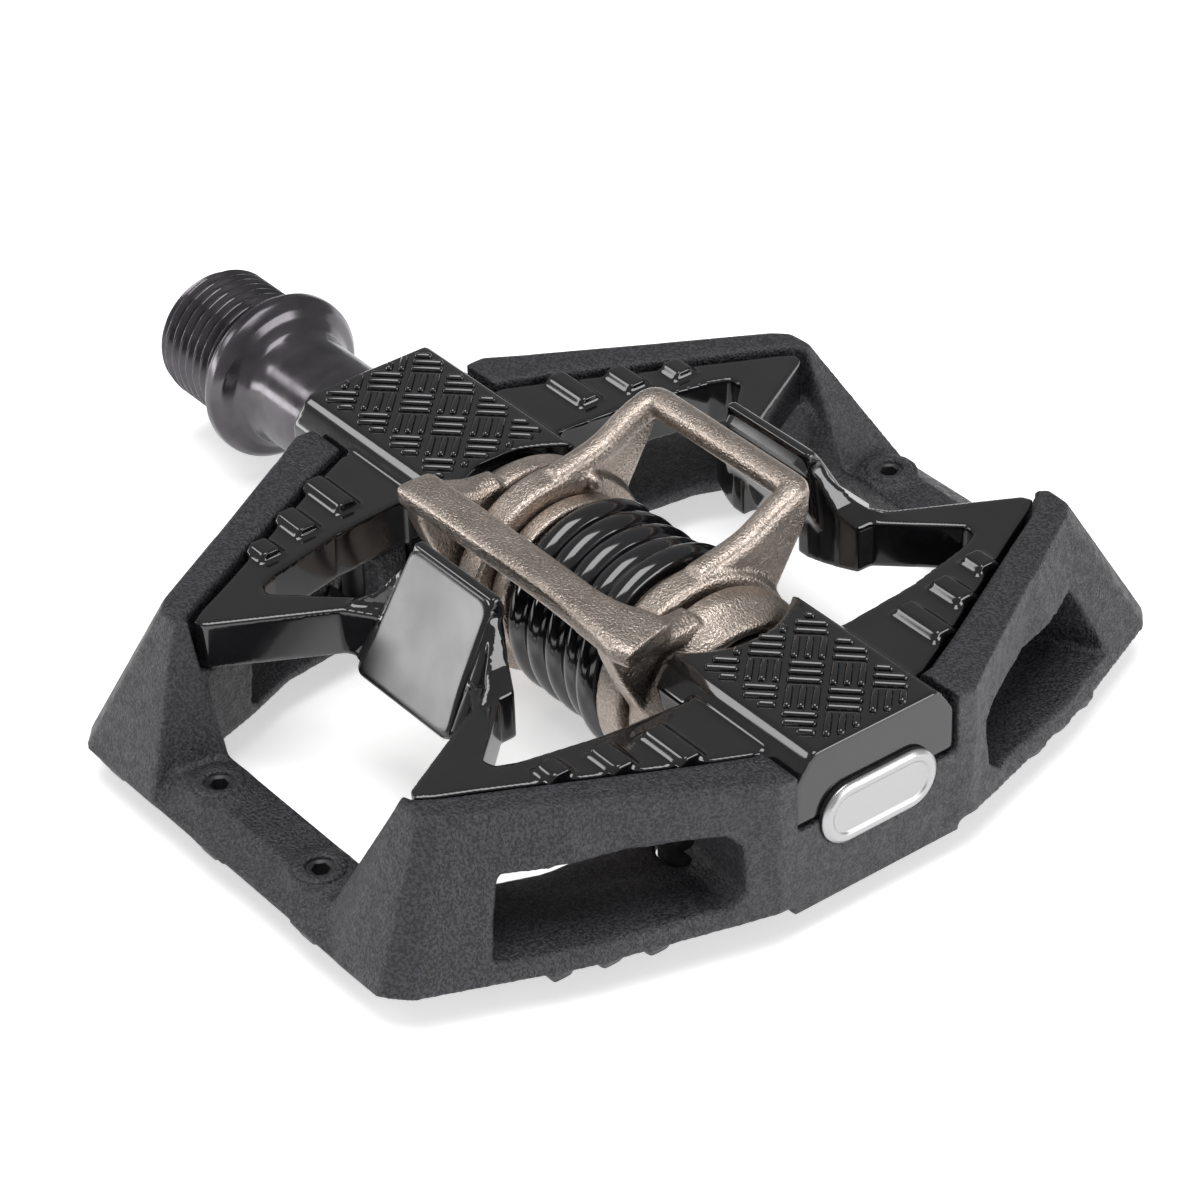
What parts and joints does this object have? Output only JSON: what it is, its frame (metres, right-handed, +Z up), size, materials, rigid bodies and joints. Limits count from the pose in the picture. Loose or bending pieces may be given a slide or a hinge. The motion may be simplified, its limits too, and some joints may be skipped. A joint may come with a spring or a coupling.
{
  "type": "clipless pedal",
  "caption": "Single-sided clipless platform pedal: threaded spindle, sprung two-wing cleat mechanism, glossy clip frame and matte outer cage with traction pins.",
  "frame": {"origin": "centre of the spindle shoulder that seats against the crank arm, on the spindle axis", "axes": "+X along the spindle away from the crank, +Y to the rear, +Z up on the clip side"},
  "size_m": [0.1067, 0.0912, 0.0256],
  "materials": {
    "gloss_black_steel": "gloss black coated forged steel",
    "black_rubber": "matte black nitrile rubber",
    "bearing_steel": "ground bearing steel",
    "dark_steel": "dark turned steel",
    "bearing_brass": "stamped brass ball cage",
    "gloss_black_alloy": "high gloss black painted aluminium",
    "matte_cage_cast": "matte speckled powder coat over a cast alloy cage",
    "bushing_polymer": "plain bearing polymer",
    "satin_silver": "satin silver pressed aluminium",
    "cast_bronze_steel": "warm grey sand-textured cast stainless steel",
    "gloss_black_spring": "gloss black coated spring wire",
    "black_screw_steel": "black oxide screw steel"
  },
  "bodies": {
    "spindle_group": {"spindle": "gloss_black_steel", "spindle_o_ring": "black_rubber", "bearing_inner_race": "bearing_steel", "nut_washer": "bearing_steel", "spindle_nut": "dark_steel"},
    "ball_set": {"ball_cage": "bearing_brass", "bearing_balls": "bearing_steel"},
    "platform": {"clip_frame": "gloss_black_alloy", "platform_cage": "matte_cage_cast", "inboard_seal": "black_rubber", "inboard_bushing": "bushing_polymer", "pivot_tube": "dark_steel", "bearing_outer_race": "bearing_steel", "bearing_shields": "dark_steel", "bearing_circlip": "dark_steel", "cap_gasket": "black_rubber", "end_cap": "satin_silver", "wing_collar_inboard": "cast_bronze_steel", "wing_collar_outboard": "cast_bronze_steel", "torsion_spring": "gloss_black_spring", "front_traction_pins": "black_screw_steel", "rear_traction_pins": "black_screw_steel", "cage_screws": "black_screw_steel"},
    "outer_wing": {"outer_wing": "cast_bronze_steel"},
    "inner_wing": {"inner_wing": "cast_bronze_steel"}
  },
  "joints": [
    {"name": "platform_spin", "type": "hinge", "parent": "spindle_group", "child": "platform", "pos_m": [0.058, 0, 0], "axis": [1, 0, 0], "continuous": true},
    {"name": "ball_orbit", "type": "hinge", "parent": "spindle_group", "child": "ball_set", "pos_m": [0.0795, 0, 0], "axis": [1, 0, 0], "continuous": true},
    {"name": "outer_wing_open", "type": "hinge", "parent": "platform", "child": "outer_wing", "pos_m": [0.058, 0, 0], "axis": [1, 0, 0], "range_deg": [0, 9], "stiffness_Nm_per_rad": 1.5, "springref_deg": -11.46},
    {"name": "inner_wing_open", "type": "hinge", "parent": "platform", "child": "inner_wing", "pos_m": [0.058, 0, 0], "axis": [1, 0, 0], "range_deg": [-9, 0], "stiffness_Nm_per_rad": 1.5, "springref_deg": 11.46}
  ],
  "couplings": [
    {"joint": "ball_orbit", "follows": "platform_spin", "ratio": 0.58}
  ]
}
